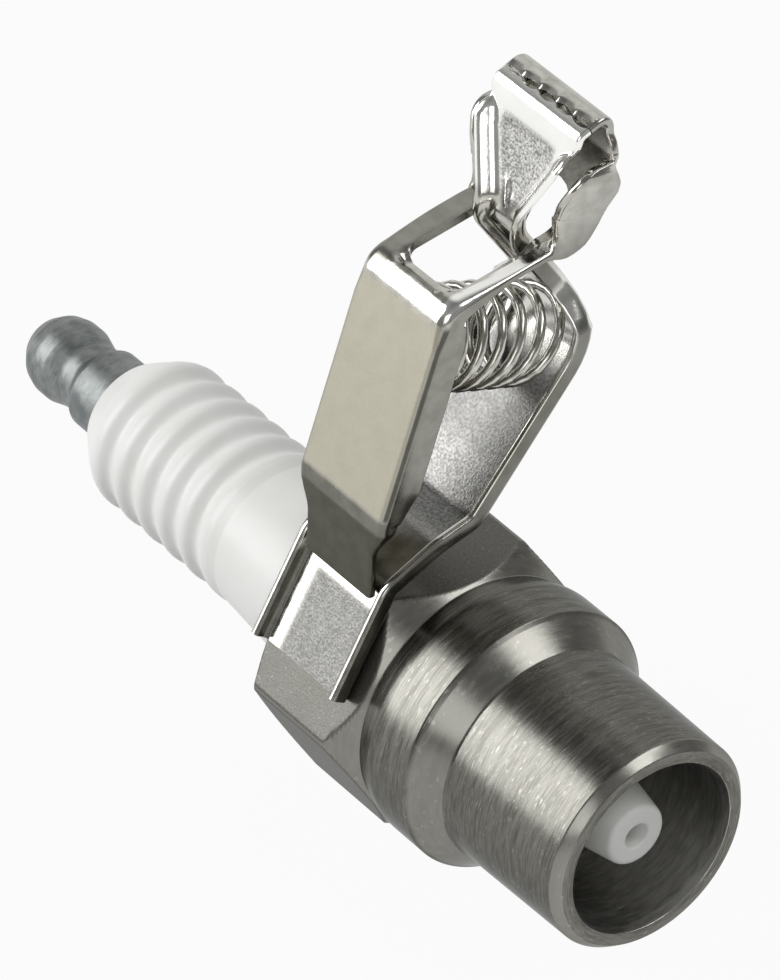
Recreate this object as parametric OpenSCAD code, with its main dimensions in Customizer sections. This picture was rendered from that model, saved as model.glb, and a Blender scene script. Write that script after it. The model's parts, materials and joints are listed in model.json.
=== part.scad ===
// Spark plug tester: a plug with an open barrel nose, carried by a sprung ground clip.
// The plug lies along X with its nose towards +X, and the clip stands up along +Z.

/* [Shell] */
// Across the flats of the hexagon
hex_af = 20.6; // [20.2:0.1:21.4]
// Length of the hexagon
hex_len = 11; // [10:0.1:14]
// Depth the hexagon's corners are turned down by
hex_corner_cut = 0.15; // [0.05:0.05:0.4]
// Radius of the round collar
collar_r = 10.6; // [10.4:0.05:11]
// Length of the round collar
collar_len = 6.1; // [4:0.1:10]
// Length of the taper seat in front of the collar
seat_len = 2; // [1:0.1:3]
// Length of the barrel nose
nose_len = 12.5; // [10:0.1:16]
// Outer radius of the nose at its rim
nose_r = 8.55; // [8:0.05:9.5]
// Growth of the nose's radius from rim to seat
nose_taper = 0.2; // [0:0.05:0.5]
// Bevel on the rim's outer edge
rim_bevel = 0.6; // [0.2:0.1:0.8]
// Length of the rim's outer bevel
rim_bevel_len = 0.75; // [0.3:0.05:1.2]
// Bevel that opens the bore at the rim
bore_bevel = 0.65; // [0.2:0.05:0.9]
// Radius of the open bore in the nose
bore_r = 6.35; // [5.6:0.05:7]
// Depth of the open bore
bore_depth = 14.2; // [12:0.1:16]
// Length of the ledge's throat behind the bore
throat_len = 2.5; // [1.5:0.1:3]
// Axial rise of the ledge's seat for each unit of radius
seat_slope = 0.5; // [0.3:0.05:0.7]
// Length of the crimped lip behind the hexagon
crimp_len = 2; // [1.5:0.1:3]
// Radius of the crimped lip's root
crimp_r = 9.7; // [9.4:0.05:10]

/* [Insulator] */
// How far the hollow tip lies behind the rim
tip_recess = 1.7; // [1:0.1:4]
// Radius of the tip's face
tip_r = 2.4; // [2:0.05:2.8]
// Radius of the hole in the tip
tip_hole_r = 1; // [0.8:0.05:1.3]
// Radius of the insulator's neck in the throat
neck_r = 4.6; // [4:0.05:5]
// How far the insulator's hidden flange stands out from its body
flange_step = 1.4; // [1.2:0.05:1.6]
// Length of the hidden flange
flange_len = 4; // [3:0.1:4.6]
// Radius of the body where it leaves the shell
body_r = 6.9; // [6.6:0.05:7.2]
// Radius of the body where the ribs start
upper_r = 6.05; // [5.8:0.05:6.3]
// Length of the tapered body behind the shell
taper_len = 10.2; // [8:0.1:14]
// Radius over the ribs
rib_r = 6.15; // [5.9:0.05:6.5]
// Number of grooves between the ribs
groove_count = 5; // [3:1:7]
// Distance from groove to groove
groove_pitch = 2.65; // [2.2:0.05:3.2]
// Depth of a groove
groove_depth = 0.35; // [0.2:0.05:0.5]
// Radius of a groove's hollow
groove_hollow = 1.5; // [1.2:0.05:2]
// Length of the rounded top above the ribs
top_len = 3.75; // [3:0.05:6]
// Radius of the flat top
top_r = 4.2; // [3.9:0.1:4.8]
// Radius of the bore for the stud
core_r = 1.9; // [1.6:0.05:2.2]

/* [Core] */
// How far the electrode ends behind the tip's face
electrode_recess = 2.8; // [1:0.1:5]
// Length of the electrode's head
head_len = 1.6; // [1:0.1:2.5]
// Length of the glass seal
seal_len = 10; // [6:0.5:16]
// Axial thickness of the seat gasket
gasket_t = 0.5; // [0.3:0.05:0.8]
// Clearance between pieces of the plug that fit together
fit_gap = 0.05; // [0.02:0.01:0.1]

/* [Terminal] */
// Radius of the snap band that takes the lead
terminal_r = 3.25; // [3:0.05:3.5]
// Radius of the waist behind the snap band
terminal_waist_r = 2.75; // [2.5:0.05:2.9]
// Radius of the terminal's foot
terminal_foot_r = 3.3; // [3.1:0.05:3.7]
// Length of the foot
terminal_foot_len = 3.8; // [2:0.1:5]
// Length of the waist between foot and snap band
terminal_waist_len = 3.5; // [2.5:0.1:5]
// Length of the straight snap band
terminal_band_len = 1; // [0.8:0.1:2]
// Length of the domed end
terminal_dome_len = 2.3; // [1.5:0.1:3]
// Radius of the dome's flat end
terminal_end_r = 2.1; // [1:0.1:2.4]
// How far the stud enters the terminal
stud_reach = 7; // [4:0.1:8]

/* [Clip] */
// Thickness of the clip's sheet metal
sheet = 0.7; // [0.55:0.05:0.85]
// Width of the welded base arm
base_w = 9.5; // [9.3:0.1:10.5]
// Width of the lever arm
lever_w = 9.5; // [9.1:0.1:9.9]
// Shift of the clip behind the middle of the hexagon
clip_shift = 0.7; // [0:0.1:1]
// Height of the weld between foot and flat
weld_t = 0.1; // [0.05:0.05:0.2]
// Radius of a weld spot
weld_r = 1.3; // [0.8:0.1:1.8]
// Length the foot runs on past the hexagon's edge before it bends
foot_over = 0.9; // [0.7:0.05:1.2]
// Length of the foot down the hexagon's flat
foot_len = 7.9; // [6:0.1:10]
// Height of the base arm's flanges above its sheet
base_flange = 1; // [0.6:0.1:1.2]
// Depth of the lever's flanges along its handle
lever_flange = 2; // [1.6:0.1:2.4]
// Depth of the lever's flanges along its rails
rail_flange = 0.7; // [0.5:0.1:1]
// Width of the base arm's neck, which passes through the lever's window
neck_w = 5; // [4:0.1:5.2]
// Width of the window in the lever
window_w = 5.6; // [5.4:0.1:6]
// Width of the two jaws
jaw_w = 9.5; // [9:0.1:9.9]
// Width across the lever's rounded ears
ear_w = 12; // [11.6:0.1:12.6]
// How far the ears reach forward of the rear jaw, past the front jaw's sides
ear_reach = 3; // [2.4:0.1:3.2]
// Clearance of the lever's foot above the base arm
pivot_gap = 0.25; // [0.2:0.05:0.4]
// Number of teeth on each jaw
tooth_count = 5; // [3:1:7]
// Depth of a tooth
tooth_depth = 1; // [0.6:0.1:1.2]
// Gap between the meshing teeth
tooth_gap = 0.3; // [0.25:0.05:0.4]
// Extra depth of the notches between the teeth
tooth_relief = 0.35; // [0.1:0.05:0.5]

/* [Clip profile, measured from the hexagon's upper edge] */
// Reach of the ramp's end
ramp_reach = 8.3; // [7.6:0.1:8.8]
// Height of the ramp's end
ramp_height = 4.65; // [4.2:0.05:5]
// Reach of the bow in the base arm
bow_reach = 18.6; // [18:0.1:19.2]
// Height of the bow in the base arm
bow_height = 16.8; // [16.2:0.1:17.2]
// Reach of the knee where the arms cross
knee_reach = 12.9; // [12.4:0.1:13.3]
// Height of the knee where the arms cross
knee_height = 25.2; // [24.8:0.1:25.8]
// Reach of the front jaw's top
jaw_reach = 15.6; // [15:0.1:16.2]
// Height of the front jaw's top
jaw_height = 33.9; // [33:0.1:35]
// Setback of the lever's heel
heel_setback = 1.05; // [0.9:0.05:1.3]
// Height of the lever's heel
heel_height = 7.4; // [6.8:0.1:8]
// Reach of the lever's crown
crown_reach = 4.45; // [4:0.05:4.9]
// Height of the lever's crown
crown_height = 23.65; // [23:0.05:24.2]
// Distance from the knee back to the lever's rear jaw
rear_gap = 2.8; // [2.6:0.1:3.4]

/* [Spring] */
// Diameter of the spring's wire
wire_d = 0.7; // [0.5:0.05:0.8]
// Outer diameter of the spring
spring_od = 6.8; // [5.6:0.1:6.9]
// Number of curls
spring_turns = 7; // [5:1:8]
// Height of the spring's axis on the lever, above the hexagon's upper edge
spring_height = 17.3; // [16.6:0.1:17.8]
// Height of the spring's seat on the base arm, above the hexagon's upper edge
spring_end_height = 14.2; // [13:0.1:14.4]
// Tilt of the last curl away from the base arm
spring_tilt = 8; // [6:1:12]
// Clearance of the wire's ends from the arms
spring_gap = 0.08; // [0.05:0.01:0.2]

/* [Hidden] */
$fn = 96;
steps = 8;      // straight pieces in a bend
far = 100;      // reach of a cutting shape, past the whole object
over = 1;       // how far a cut runs past the face it opens
least_turn = 0.05;

// Stations along the plug, measured back from the nose's rim
s_seat = nose_len + seat_len;
s_collar = s_seat + collar_len;
s_hex = s_collar + hex_len;
s_crimp = s_hex + crimp_len;
s_throat = bore_depth + throat_len;
core_gap = 0.3;
throat_r = neck_r + core_gap;
flange_r = body_r + flange_step;
cavity_r = flange_r + 2 * fit_gap;
lip_r = body_r + core_gap;
lip_t = 1.2;
lip_land = 0.5;
collar_bevel = 0.3;
corner_front = 1.3;
corner_back = 0.8;
s_shoulder = s_throat + gasket_t;
s_flange = seat_at(flange_r) + gasket_t + flange_len;
s_back = s_flange + flange_r - body_r;
ring_r = (cavity_r - body_r) / 2 - fit_gap;
ring_mid_r = (cavity_r + body_r) / 2;
s_lower_ring = s_flange + flange_r - ring_mid_r + (ring_r + fit_gap) * sqrt(2);
s_upper_ring = s_crimp - lip_t - ring_r - fit_gap;
body_land = 0.8;
s_taper = s_crimp + body_land;
s_ribs = s_taper + taper_len;
s_ribs_end = s_ribs + groove_count * groove_pitch;
s_top = s_ribs_end + top_len;
head_seat = 1;
s_head = s_shoulder + head_seat;
s_head_end = s_head + head_len;
s_seal_end = s_head_end + seal_len;
s_terminal = s_top + fit_gap;
s_waist = s_terminal + terminal_foot_len;
s_band = s_waist + terminal_waist_len;
s_dome = s_band + terminal_band_len;
s_end = s_dome + terminal_dome_len;
plug_reach = s_band + terminal_band_len / 2;

// Places of the clip, as [y, z]
clip_x = plug_reach - s_collar - hex_len / 2 - clip_shift;
edge_yz = [-hex_af / 2 * tan(30), hex_af / 2];
flat_up = [cos(60), sin(60)];
flat_out = [-sin(60), cos(60)];
mid_lift = weld_t + sheet / 2;
foot_turn = 0.9;
ramp_turn = 3;
bow_turn = 4.5;
knee_turn = 1.4;
heel_turn = 1.5;
crown_turn = 1.9;
rear_turn = 3;
upper_turn = 2;
fold_turn = 0.75;
lip_slope = 20;
lip_dir = [cos(lip_slope), sin(lip_slope)];
base_lip = 1.5;
lever_lip = 1.3;
front_top = [jaw_reach, jaw_height];
base_path = [foot_point(-foot_len), foot_point(foot_over), [ramp_reach, ramp_height],
             [bow_reach, bow_height], [knee_reach, knee_height], front_top,
             front_top + (base_lip + tooth_depth / 2) * lip_dir];
base_turns = [0, foot_turn, ramp_turn, bow_turn, knee_turn, fold_turn, 0];
rear_top = front_top + (base_lip + lever_lip) * lip_dir;
rear_reach = knee_reach + rear_gap;
upper_drop = [-0.25, -2.9];
pivot = foot_point(0) + (sheet + pivot_gap) * flat_out;
lever_path = [pivot, [-heel_setback, heel_height], [crown_reach, crown_height],
              [rear_reach, knee_height], rear_top + upper_drop, rear_top,
              rear_top - (lever_lip + tooth_depth / 2) * lip_dir];
jaw_run = norm(lever_path[4] - lever_path[3]);
lever_turns = [0, heel_turn, crown_turn, rear_turn, upper_turn, fold_turn, 0];
window_back = 1.4;
window_past = 1.6;
window_rise = 3.1;
window_lap = 3;
window_start = crown_reach + window_back;
window_end = rear_reach + window_past;
window_top = knee_height + window_rise;
shoulder_drop = 0.8;
shoulder_rise = 2.2;
shoulder_z = bow_height - shoulder_drop;
flare_lift = 1;
flare_rise = 5;
flare_z = knee_height + flare_lift;
tab_gap = 0.3;
tab_w = base_w - 2 * sheet - 2 * tab_gap;
tab_taper = 2.6;
tab_flare = 1.4;
flange_fade = 2.7;
fold_back = 0.75;
crown_fade = 2.4;
rail_rise = 0.34 * jaw_run;
rail_end = 0.62 * jaw_run;
// Where the ears start, are full, and end, as shares of the rear jaw's rise
ear_rises = [0.09, 0.37, 0.92, 1.17];
ear_heights = [for (share = ear_rises) knee_height + share * (lever_path[4][1] - knee_height)];
// The ears' edge, as shares of the rear jaw's length and of their reach
ear_shares = [[0.07, 0.55], [0.21, 0.86], [0.42, 0.98], [0.67, 0.96], [0.81, 0.78], [0.9, 0.4]];
ear_foot = 2.5;
ear_top = 0.947 * jaw_run;
tooth_y = jaw_reach + base_lip * cos(lip_slope);

// Side view of each arm as one outline: plain sheet at its ends, and flanged in between
base_depth = sheet / 2 + base_flange;
base_lip_path = [back_from(base_path, 5, fold_back), base_path[5], base_path[6]];
base_bed = concat(head_of(base_path, 5), [back_from(base_path, 5, flange_fade)]);
base_profile = concat(strip_side(base_path, base_turns, -sheet / 2),
                      flip(concat(strip_side(base_bed, base_turns, base_depth),
                                  strip_side(base_lip_path, [0, fold_turn, 0], sheet / 2))));
base_trough = strip(run_on(concat(head_of(base_path, 5), [base_lip_path[0]])), base_turns,
                    sheet / 2, base_depth + over);

// The lever's flanges point in along the handle and the rails, and forward as ears on the rear jaw
handle_depth = -sheet / 2 - lever_flange;
rail_depth = -sheet / 2 - rail_flange;
lever_tab = [lever_path[0], back_from(lever_path, 1, tab_taper)];
handle_bed = [on_from(lever_path, 1, tab_taper), back_from(lever_path, 2, crown_fade)];
rail_bed = [on_from(lever_path, 2, crown_fade), lever_path[3], on_from(lever_path, 3, rail_rise)];
lever_back = concat(strip_side(lever_tab, [0, 0], -sheet / 2),
                    strip_side(handle_bed, [0, 0], handle_depth),
                    strip_side(rail_bed, [0, rear_turn, 0], rail_depth),
                    strip_side(concat([on_from(lever_path, 3, rail_end)], tail_of(lever_path, 4)),
                               [0, upper_turn, fold_turn, 0], -sheet / 2));
ear_side = left(unit(lever_path[4] - lever_path[3]));
ear_edge = [for (p = ear_shares) on_from(lever_path, 3, p[0] * jaw_run)
                                 + (sheet / 2 + p[1] * ear_reach) * ear_side];
lever_front = concat(strip_side(concat(head_of(lever_path, 3), [back_from(lever_path, 3, ear_foot)]),
                                [0, heel_turn, crown_turn, 0], sheet / 2),
                     ear_edge,
                     strip_side(concat([on_from(lever_path, 3, ear_top)], tail_of(lever_path, 4)),
                                [0, upper_turn, fold_turn, 0], sheet / 2));
lever_profile = concat(lever_front, flip(lever_back));
lever_trough = strip(run_on([lever_tab[1], lever_path[1], lever_path[2], lever_path[3],
                             on_from(lever_path, 3, rail_end - over)]), lever_turns,
                     -sheet / 2, handle_depth - over);
ear_trough = strip([back_from(lever_path, 3, ear_foot), lever_path[3], on_from(lever_path, 3, ear_top)],
                   [0, rear_turn, 0], sheet / 2, sheet / 2 + ear_reach + over);

// The spring starts flat on the lever, and its curls lean over to lie along the base arm
lever_dir = unit([crown_reach, crown_height] - [-heel_setback, heel_height]);
lever_in = -left(lever_dir);
rise_dir = unit([bow_reach, bow_height] - [ramp_reach, ramp_height]);
rise_in = left(rise_dir);
end_up = [rise_dir[0] * cos(spring_tilt) - rise_dir[1] * sin(spring_tilt),
          rise_dir[1] * cos(spring_tilt) + rise_dir[0] * sin(spring_tilt)];
coil_r = (spring_od - wire_d) / 2;
stub = wire_d + spring_gap;
lever_spot = [-heel_setback, heel_height] + lever_dir * (spring_height - heel_height) / lever_dir[1];
rise_spot = [ramp_reach, ramp_height] + rise_dir * (spring_end_height - ramp_height) / rise_dir[1];
coil_start = lever_spot + (sheet / 2 + stub) * lever_in;
coil_stop = rise_spot + (sheet / 2 + stub + coil_r * (end_up * rise_in)) * rise_in;

// Plain geometry
function seat_at(r) = s_throat + (r - throat_r) * seat_slope;
function unit(v) = v / norm(v);
function left(d) = [-d[1], d[0]];
function flip(list) = [for (i = [len(list) - 1:-1:0]) list[i]];
function foot_point(d) = d * flat_up + mid_lift * flat_out;

// One side of a bent strip: its corners moved k to the left and rounded
function strip_corner(p, q, r, turn, k) =
    let (a = unit(q - p), b = unit(r - q), side = sign(a[0] * b[1] - a[1] * b[0]),
         angle = acos(max(-1, min(1, a * b))), place = q + k * (left(a) + left(b)) / (1 + a * b),
         radius = turn - side * k, start = place - radius * tan(angle / 2) * a,
         centre = start + side * radius * left(a), head = atan2(a[1], a[0]))
    radius < least_turn ? [place]
    : [for (i = [0:steps]) centre - side * radius * left([cos(head + side * angle * i / steps),
                                                          sin(head + side * angle * i / steps)])];
function strip_side(path, turns, k) =
    let (n = len(path) - 1)
    concat([path[0] + k * left(unit(path[1] - path[0]))],
           [for (i = [1:n - 1], p = strip_corner(path[i - 1], path[i], path[i + 1], turns[i], k)) p],
           [path[n] + k * left(unit(path[n] - path[n - 1]))]);
function strip(path, turns, a, b) = concat(strip_side(path, turns, a), flip(strip_side(path, turns, b)));
function head_of(list, count) = [for (i = [0:count - 1]) list[i]];
function tail_of(list, start) = [for (i = [start:len(list) - 1]) list[i]];
function mirrored(half) = concat(half, [for (p = flip(half)) [-p[0], p[1]]]);
// A point on a path, d before or after its corner i
function back_from(path, i, d) = path[i] - d * unit(path[i] - path[i - 1]);
function on_from(path, i, d) = path[i] + d * unit(path[i + 1] - path[i]);
// A path whose two ends are carried on past its outline
function run_on(path) =
    let (n = len(path) - 1)
    [for (i = [0:n]) i == 0 ? path[0] - over * unit(path[1] - path[0])
                     : i == n ? path[n] + over * unit(path[n] - path[n - 1]) : path[i]];

// Revolve a profile of [radius, station] about the plug's axis
module turned() {
    translate([plug_reach, 0, 0]) rotate([0, -90, 0]) rotate_extrude() children();
}

// Place a [y, z] profile across the clip, as wide as w
module across(w) {
    translate([clip_x - w / 2, edge_yz[0], edge_yz[1]]) rotate([90, 0, 90]) linear_extrude(w) children();
}

// Place an [x, z] outline through the clip from front to back
module through() {
    translate([clip_x, far / 2, edge_yz[1]]) rotate([90, 0, 0]) linear_extrude(far) children();
}

// Half outlines of the arms, as [half width, z], from the foot upwards
edge_turn = 1.2;
base_edge = [[base_w / 2, -far / 4], [base_w / 2, shoulder_z], [neck_w / 2, shoulder_z + shoulder_rise],
             [neck_w / 2, flare_z], [jaw_w / 2, flare_z + flare_rise], [jaw_w / 2, far / 2]];
base_edge_turns = [0, edge_turn, edge_turn, edge_turn, edge_turn, 0];
tab_top = heel_height - tab_taper;
tab_turn = 0.5;
lever_edge = [[tab_w / 2, -far / 4], [tab_w / 2, tab_top], [lever_w / 2, tab_top + tab_flare],
              [lever_w / 2, ear_heights[0]], [ear_w / 2, ear_heights[1]],
              [ear_w / 2, ear_heights[2]], [jaw_w / 2, ear_heights[3]],
              [jaw_w / 2, far / 2]];
lever_edge_turns = [0, tab_turn, tab_turn, edge_turn, edge_turn, edge_turn, edge_turn, 0];

// An arm's side view, trimmed to its outline
module trimmed(profile, edge, edge_turns) {
    intersection() {
        across(far) polygon(profile);
        through() polygon(mirrored(strip_side(edge, edge_turns, 0)));
    }
}

// The hollow between an arm's flanges
module hollow(trough, edge, edge_turns) {
    intersection() {
        across(far) polygon(trough);
        through() polygon(mirrored(strip_side(edge, edge_turns, sheet)));
    }
}

// The zigzag that parts the two jaws, seen from above, moved d to the front
module tooth_line(d, away) {
    pitch = jaw_w / tooth_count;
    crest = tooth_y + d + tooth_depth / 2 + (d > 0 ? tooth_relief : 0);
    dip = tooth_y + d - tooth_depth / 2 - (d < 0 ? tooth_relief : 0);
    zigzag = [for (i = [0:2 * tooth_count]) [(i - tooth_count) * pitch / 2, i % 2 == 0 ? dip : crest]];
    translate([clip_x, edge_yz[0], edge_yz[1] + jaw_height - over])
        linear_extrude(far / 2)
            polygon(concat([[-far / 2, dip]], zigzag, [[far / 2, dip], [far / 2, away], [-far / 2, away]]));
}

module shell() {
    corner_r = hex_af / 2 / cos(30) - hex_corner_cut;
    color("#9c9a92") difference() {
        union() {
            turned() polygon([[0, 0], [nose_r - rim_bevel, 0], [nose_r, rim_bevel_len],
                              [nose_r + nose_taper, nose_len], [collar_r - collar_bevel, s_seat],
                              [collar_r, s_seat + collar_bevel], [collar_r, s_collar], [crimp_r, s_collar],
                              [crimp_r, s_crimp - lip_t], [lip_r + lip_land, s_crimp], [0, s_crimp]]);
            intersection() {
                translate([plug_reach - s_hex, 0, 0]) rotate([0, 90, 0]) rotate([0, 0, 30])
                    cylinder(r = hex_af / 2 / cos(30), h = hex_len, $fn = 6);
                turned() polygon([[0, s_collar], [collar_r, s_collar], [corner_r, s_collar + corner_front],
                                  [corner_r, s_hex - corner_back], [hex_af / 2, s_hex], [0, s_hex]]);
            }
        }
        turned() polygon([[0, -over], [bore_r + bore_bevel, -over], [bore_r + bore_bevel, 0],
                          [bore_r, 2 * bore_bevel], [bore_r, bore_depth],
                          [throat_r, bore_depth], [throat_r, s_throat], [cavity_r, seat_at(cavity_r)],
                          [cavity_r, s_crimp - lip_t], [lip_r, s_crimp - lip_t],
                          [lip_r, s_crimp + over], [0, s_crimp + over]]);
    }
}

module insulator() {
    tip_round = 0.4;
    // The rounded top, as shares of its drop and of its length
    shares = [[0, 0.06], [0.07, 0.2], [0.22, 0.36], [0.44, 0.54], [0.66, 0.72], [0.87, 0.89], [1, 1]];
    cap = [for (p = shares) [rib_r - p[0] * (rib_r - top_r), s_ribs_end + p[1] * top_len]];
    color("#f2f1ee") turned() difference() {
        polygon(concat([[0, tip_recess], [tip_r - tip_round, tip_recess], [tip_r, tip_recess + tip_round],
                        [neck_r, bore_depth], [neck_r, seat_at(neck_r) + gasket_t],
                        [flange_r, seat_at(flange_r) + gasket_t], [flange_r, s_flange],
                        [body_r, s_back], [body_r, s_taper], [upper_r, s_ribs - groove_pitch / 2],
                        [rib_r, s_ribs - groove_pitch / 4]], cap, [[0, s_top]]));
        for (i = [0:groove_count - 1])
            translate([rib_r - groove_depth + groove_hollow, s_ribs + (i + 0.5) * groove_pitch])
                circle(r = groove_hollow);
        translate([0, tip_recess - over]) square([tip_hole_r, s_head - tip_recess + over]);
        translate([0, s_head]) square([core_r, s_top - s_head + over]);
    }
}

module centre_electrode() {
    start = tip_recess + electrode_recess;
    color("#8f8d88") turned() {
        translate([0, start]) square([tip_hole_r - fit_gap, s_head - start + head_len / 2]);
        translate([0, s_head]) square([core_r - fit_gap, head_len]);
    }
}

module glass_seal() {
    color("#4a3c34") turned() translate([0, s_head_end]) square([core_r - fit_gap, seal_len]);
}

module terminal_stud() {
    color("#84868a") turned()
        translate([0, s_seal_end]) square([core_r - fit_gap, s_terminal + stud_reach - s_seal_end]);
}

module terminal_nut() {
    edge = 0.3;
    dome_share = 0.75;
    dome_r = terminal_end_r + dome_share * (terminal_r - terminal_end_r);
    color("#7d8184") turned() difference() {
        polygon([[0, s_terminal], [terminal_foot_r, s_terminal], [terminal_foot_r, s_waist - edge],
                 [terminal_waist_r, s_waist + edge], [terminal_r, s_band], [terminal_r, s_dome],
                 [dome_r, s_dome + terminal_dome_len / 2], [terminal_end_r, s_end], [0, s_end]]);
        translate([0, s_terminal - over]) square([core_r, stud_reach + over + fit_gap]);
    }
}

module seat_gasket() {
    inner_gap = 0.2;
    outer_gap = 0.4;
    inner = throat_r + inner_gap;
    outer = cavity_r - outer_gap;
    color("#a07a4c") turned()
        polygon([[inner, seat_at(inner)], [outer, seat_at(outer)],
                 [outer, seat_at(outer) + gasket_t], [inner, seat_at(inner) + gasket_t]]);
}

module lower_packing_ring() {
    color("#8a8a86") turned() translate([ring_mid_r, s_lower_ring]) circle(r = ring_r);
}

module talc_packing() {
    start = s_lower_ring + ring_r + fit_gap;
    stop = s_upper_ring - ring_r - fit_gap;
    color("#d8d4c8") turned()
        translate([body_r + fit_gap, start]) square([cavity_r - body_r - 2 * fit_gap, stop - start]);
}

module upper_packing_ring() {
    color("#8a8a86") turned() translate([ring_mid_r, s_upper_ring]) circle(r = ring_r);
}

module weld_spots() {
    spread = 0.2 * base_w;
    color("#6f6d68") for (side = [-1, 1])
        translate([clip_x + side * spread, edge_yz[0], edge_yz[1]])
            rotate([60, 0, 0]) translate([0, -foot_len / 2, 0]) cylinder(r = weld_r, h = weld_t);
}

module clip_base() {
    color("#b3b1a8") difference() {
        trimmed(base_profile, base_edge, base_edge_turns);
        hollow(base_trough, base_edge, base_edge_turns);
        tooth_line(-tooth_gap / 2, far);
    }
}

// A slot of the window's width with two round corners at its far end
module round_slot(from, to) {
    wide = window_w / 2 - edge_turn;
    way = sign(to - from);
    for (side = [-1, 1]) translate([side * wide, to - way * edge_turn]) circle(r = edge_turn);
    polygon([[-wide, to], [wide, to], [wide, to - 2 * way * edge_turn], [-wide, to - 2 * way * edge_turn]]);
    polygon([[-window_w / 2, from], [window_w / 2, from], [window_w / 2, to - way * edge_turn],
             [-window_w / 2, to - way * edge_turn]]);
}

// The lever's window: a round-cornered slot along the rails, carried on up the rear jaw
module window() {
    slot_top = max(window_top, crown_height + 4 * sheet) - 2 * sheet;
    translate([clip_x, edge_yz[0], edge_yz[1] + heel_height])
        linear_extrude(slot_top - heel_height) round_slot(window_end, window_start);
    intersection() {
        through() round_slot(heel_height, window_top);
        across(far) translate([window_end - window_lap, 0]) square([far, far]);
    }
}

module clip_lever() {
    color("#aaa89e") difference() {
        trimmed(lever_profile, lever_edge, lever_edge_turns);
        hollow(lever_trough, lever_edge, lever_edge_turns);
        hollow(ear_trough, lever_edge, lever_edge_turns);
        tooth_line(tooth_gap / 2, -far);
        window();
    }
}

module clip_spring() {
    curl_rings = 8;
    rings = curl_rings * spring_turns;
    helix = [for (i = [0:rings]) coil_point(i / rings, 360 * i / curl_rings - 90)];
    first = helix[0] - wire_d * [0, lever_in[0], lever_in[1]];
    last = helix[rings] - wire_d * [0, rise_in[0], rise_in[1]];
    wire = concat([first], helix, [last]);
    gap = min([for (i = [0:rings], j = [i + curl_rings / 2 + 1:rings]) norm(helix[i] - helix[j])]) - wire_d;
    echo(least_gap_between_curls = gap);
    sides = 6;
    points = [for (i = [0:len(wire) - 1], j = [0:sides - 1]) wire_point(wire, i, 360 * j / sides)];
    walls = [for (i = [0:len(wire) - 2], j = [0:sides - 1], f = [0, 1])
             let (a = i * sides + j, b = i * sides + (j + 1) % sides)
             f == 0 ? [a, b, b + sides] : [a, b + sides, a + sides]];
    end = (len(wire) - 1) * sides;
    caps = [for (j = [1:sides - 2], f = [0, 1]) f == 0 ? [0, j + 1, j] : [end, end + j, end + j + 1]];
    color("#c4c2ba") translate([clip_x, edge_yz[0], edge_yz[1]])
        polyhedron(points = points, faces = concat(walls, caps));
}

// A point of the wire's middle, at share t of the spring and turned by phi about its axis
function coil_point(t, phi) =
    let (up = unit(lever_dir * (1 - t) + end_up * t), c = coil_start * (1 - t) + coil_stop * t,
         p = c + coil_r * sin(phi) * up)
    [coil_r * cos(phi), p[0], p[1]];
function wire_point(wire, i, angle) =
    let (n = len(wire) - 1, t = unit(wire[min(i + 1, n)] - wire[max(i - 1, 0)]),
         axis = [0, lever_in[0], lever_in[1]], b = unit(axis - (axis * t) * t), c = cross(t, b))
    wire[i] + wire_d / 2 * (cos(angle) * b + sin(angle) * c);

shell();
insulator();
centre_electrode();
glass_seal();
terminal_stud();
terminal_nut();
seat_gasket();
lower_packing_ring();
talc_packing();
upper_packing_ring();
weld_spots();
clip_base();
clip_lever();
clip_spring();
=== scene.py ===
# %% [markdown]
# A spark plug tester: a plug with an open barrel nose, held to an engine by a sprung clip.
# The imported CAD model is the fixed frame. Every piece here is dressed in that frame, in metres,
# while the sizes are written in millimetres as a maker would read them off a drawing.

# %% Load the frame
import json
import math

import bmesh
import bpy
import numpy as np
from mathutils import Matrix, Vector


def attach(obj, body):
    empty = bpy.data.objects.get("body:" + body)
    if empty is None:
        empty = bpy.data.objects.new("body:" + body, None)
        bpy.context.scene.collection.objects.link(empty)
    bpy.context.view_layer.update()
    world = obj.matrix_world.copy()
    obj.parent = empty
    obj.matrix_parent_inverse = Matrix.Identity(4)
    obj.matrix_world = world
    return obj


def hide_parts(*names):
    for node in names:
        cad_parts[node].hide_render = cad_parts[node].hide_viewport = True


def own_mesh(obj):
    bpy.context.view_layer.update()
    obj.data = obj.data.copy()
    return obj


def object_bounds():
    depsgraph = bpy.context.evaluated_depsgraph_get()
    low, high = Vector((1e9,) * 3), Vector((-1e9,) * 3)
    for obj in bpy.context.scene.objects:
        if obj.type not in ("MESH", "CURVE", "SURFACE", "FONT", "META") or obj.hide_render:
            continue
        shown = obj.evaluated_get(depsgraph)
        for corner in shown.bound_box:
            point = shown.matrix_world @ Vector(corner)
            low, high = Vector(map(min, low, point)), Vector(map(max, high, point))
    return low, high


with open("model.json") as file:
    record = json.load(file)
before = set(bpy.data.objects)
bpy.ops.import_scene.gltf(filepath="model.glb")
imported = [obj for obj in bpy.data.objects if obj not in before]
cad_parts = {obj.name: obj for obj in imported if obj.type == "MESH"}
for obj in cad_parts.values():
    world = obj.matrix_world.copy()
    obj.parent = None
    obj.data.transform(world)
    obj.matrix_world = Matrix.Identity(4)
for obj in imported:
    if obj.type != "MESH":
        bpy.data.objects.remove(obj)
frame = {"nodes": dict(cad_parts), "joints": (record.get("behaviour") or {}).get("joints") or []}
cad_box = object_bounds()
MM = 0.001
print("CAD nodes:", sorted(frame["nodes"]))

# %% [markdown]
# The camera comes first, because it decides which faces matter. The photograph was taken with a
# long lens from above the nose, so the lines along the plug hardly converge. A long lens at a
# distance gives the same flat perspective, and a small roll levels it.

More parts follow.
